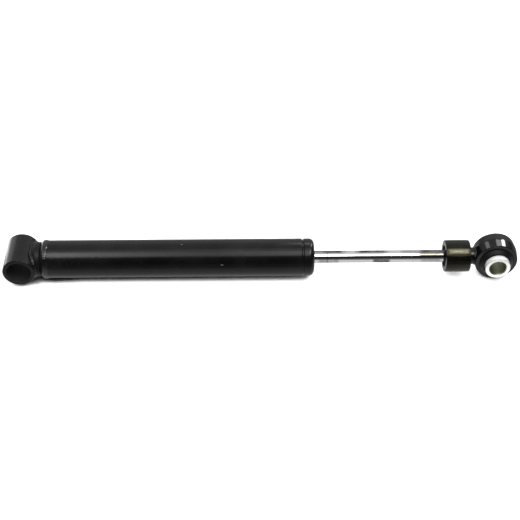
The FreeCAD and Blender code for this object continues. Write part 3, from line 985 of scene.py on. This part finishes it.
# floor: plain and pale, touching the ring of the rod eye and the ring weld of the tube
floorSettings = {
    "half": 12.0,
    "gap": 0.05 * mm,
    "grey": 0.5,
    # the floor's painted shade: its grey in front, and where it starts and ends
    "frontGrey": 0.16,
    "front": (-0.085, -0.035),  # Y over which the floor gets paler
    "back": (0.0, 0.03),  # Y over which its mirrored glow ends
    "right": (0.5, 0.53),  # X over which it gets darker again
    "glowSeen": 0.95,
    "glowMirrored": 0.35,
    # painted light: the glow seen in reflections grows this much under the sleeve
    "underSleeveGlow": 1.9,
    "underSleeveGlowX": (0.44, 0.465),  # X over which the mirrored glow rises, under the sleeve
    "shadeReach": 0.012,
    "shadeSamples": 12,
    "shadeFrom": (0.3, 0.43),
    "deepX": 0.02,  # the shade is deeper about here, at the lower end
    "deepReach": 0.04,
    "deeper": 0.1,
    "contact": 0.6,
    "contactFrom": (0.0, 0.4),
}


def makeFloor(s):
    first = Vector((middleX("seam_weld"), 0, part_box("seam_weld")[0].z))
    second = Vector((middleX("rod_eye_ring"), 0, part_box("rod_eye_ring")[0].z))
    slope = (second.z - first.z) / (second.x - first.x)
    corners = []
    for x, y in ((-1, -1), (1, -1), (1, 1), (-1, 1)):
        away = x * s["half"]
        corners.append((first.x + away, y * s["half"], first.z + slope * away - s["gap"]))
    mesh = bpy.data.meshes.new("floor")
    mesh.from_pydata(corners, [], [(0, 1, 2, 3)])
    material, tree, shader = newMaterial("floorWhite")
    tree.nodes.remove(shader)
    x, y = along(tree, "X"), along(tree, "Y")
    rays = addNode(tree, "LightPath").outputs
    # contact shade, for the camera's rays alone
    cover = addNode(tree, "AmbientOcclusion", {"Distance": s["shadeReach"]}, samples=s["shadeSamples"])
    deeper = sums(tree, "MULTIPLY", near(tree, x, s["deepX"], s["deepReach"]), s["deeper"])
    openSky = sums(tree, "SUBTRACT", cover.outputs["AO"], deeper)
    clear = remap(tree, openSky, *s["shadeFrom"], 0.0, 1.0)
    shaded = sums(tree, "MULTIPLY", rays["Is Camera Ray"],
                  remap(tree, clear, *s["contactFrom"], s["contact"], 0.0))
    # matt floor with painted shade: darker in front and at the right
    notFront = remap(tree, y, *s["front"], 0.0, 1.0)
    pale = sums(tree, "MULTIPLY", notFront, remap(tree, x, *s["right"], 1.0, 0.0))
    tone = tint(tree, pale, (s["frontGrey"],) * 3, (s["grey"],) * 3)
    matt = addNode(tree, "BsdfDiffuse", {"Color": tint(tree, shaded, tone, (0.0, 0.0, 0.0))})
    # white to the camera, and a strip of glow in what mirrors it
    seen = sums(tree, "MULTIPLY", sums(tree, "MULTIPLY", rays["Is Camera Ray"], s["glowSeen"]), clear)
    mirrored = sums(tree, "MAXIMUM", rays["Is Glossy Ray"], rays["Is Transmission Ray"])
    # painted light: the floor glows brighter under the sleeve, in what mirrors it
    underSleeveGlow = remap(tree, x, *s["underSleeveGlowX"], s["glowMirrored"], s["glowMirrored"] * s["underSleeveGlow"])
    inBand = sums(tree, "MULTIPLY", notFront, remap(tree, y, *s["back"], 1.0, 0.0))
    reflected = sums(tree, "MULTIPLY", sums(tree, "MULTIPLY", mirrored, underSleeveGlow), inBand)
    glow = addNode(tree, "Emission", {"Strength": sums(tree, "MAXIMUM", seen, reflected)})
    both = addNode(tree, "AddShader", {0: matt.outputs[0], 1: glow.outputs[0]})
    tree.links.new(both.outputs[0], tree.nodes["Material Output"].inputs["Surface"])
    mesh.materials.append(material)
    floor = bpy.data.objects.new("floor", mesh)
    scene.collection.objects.link(floor)


makeFloor(floorSettings)


# studio light: boxes and a strip overhead in front, a window behind the rod eye, small cards near both eyes
lightSettings = {
    "overheadLeft": {
        "at": (-0.2, -0.526, 1.0785), "to": (-0.2, 0, 0), "size": (0.22, 0.6), "radiance": 7.5,
    },
    "fillLeft": {
        "at": (0.0, -0.526, 1.0785), "to": (0.0, 0, 0), "size": (0.18, 0.6), "radiance": 2.0,
    },
    "fillRight": {
        "at": (0.36, -0.526, 1.0785), "to": (0.36, 0, 0), "size": (0.2, 0.6), "radiance": 2.4,
    },
    "overheadRight": {
        "at": (0.675, -0.369, 1.142), "to": (0.675, 0, 0), "size": (0.28, 0.62), "radiance": 11.0,
    },
    "rightStrip": {
        "at": (0.668, -0.355, 1.11), "to": (0.668, 0, 0), "size": (0.07, 0.24), "radiance": 15.0,
    },
    "backWindow": {
        "at": (1.252, 0.89, 0.949), "to": (0.4866, -0.006, 0.0212), "size": (0.24, 0.37), "radiance": 32.0,
    },
    "nearCard": {
        "at": (0.4985, 0.0406, 0.085), "to": (0.4838, -0.006, 0.0215),
        "size": (0.028, 0.0156), "radiance": 6.5,
    },
    "sideCard": {
        "at": (0.3146, 0.1644, 0.2107), "to": (0.4708, -0.006, 0.0195),
        "size": (0.0514, 0.077), "radiance": 4.0,
    },
    "lowCard": {
        "at": (-0.08, 0.1, -0.0185), "to": (-0.08, 0.1, 1.0), "size": (0.1, 0.12), "radiance": 2.5,
    },
    "standCard": {
        "at": (-0.104, 0.115, 0.03), "to": (-0.008, 0, 0.03), "size": (0.1, 0.1), "radiance": 1.0,
    },
}


def makeLights(boxes):
    for name, s in boxes.items():
        lamp = bpy.data.lights.new(name, "AREA")
        lamp.shape = "RECTANGLE"
        lamp.size, lamp.size_y = s["size"]
        lamp.energy = s["radiance"] * math.pi * lamp.size * lamp.size_y
        light = bpy.data.objects.new(name, lamp)
        light.location = s["at"]
        light.rotation_euler = (Vector(s["to"]) - Vector(s["at"])).to_track_quat("-Z", "Y").to_euler()
        light.visible_camera = False
        scene.collection.objects.link(light)


# room: pale behind and overhead, dark in front between the lamps and the floor;
# a pair gives the direction's X, Y or Z over which a part of the room comes in or ends
worldSettings = {
    "gap": 0.03,
    "behind": 0.78,
    "behindY": (-0.1, 0.3),
    "leftShare": 0.9,
    "leftX": (-0.75, -0.3),
    "rightShare": 0.3,
    "rightX": (0.62, 0.75),
    "lowShare": 0.5,
    "lowZ": (0.1, 0.4),
    "overhead": 1.5,
    "overheadZ": (0.73, 0.8),
    "overheadY": (0.05, 0.25),
}


def makeWorld(s):
    world = bpy.data.worlds.new("room")
    world.use_nodes = True
    tree = world.node_tree
    way = addNode(tree, "SeparateXYZ", {"Vector": addNode(tree, "TexCoord").outputs["Generated"]}).outputs
    behind = remap(tree, way["Y"], *s["behindY"], 0.0, s["behind"])
    for share in (
        remap(tree, way["X"], *s["leftX"], s["leftShare"], 1.0),
        remap(tree, way["Z"], *s["lowZ"], s["lowShare"], 1.0),
        remap(tree, way["X"], *s["rightX"], 1.0, s["rightShare"]),
    ):
        behind = sums(tree, "MULTIPLY", behind, share)
    overhead = sums(tree, "MULTIPLY", remap(tree, way["Z"], *s["overheadZ"], 0.0, s["overhead"]),
                    remap(tree, way["Y"], *s["overheadY"], 1.0, 0.0))
    level = sums(tree, "MAXIMUM", sums(tree, "MAXIMUM", behind, overhead), s["gap"])
    tree.links.new(level, tree.nodes["Background"].inputs["Color"])
    scene.world = world


makeLights(lightSettings)
makeWorld(worldSettings)
print("stage and light set")
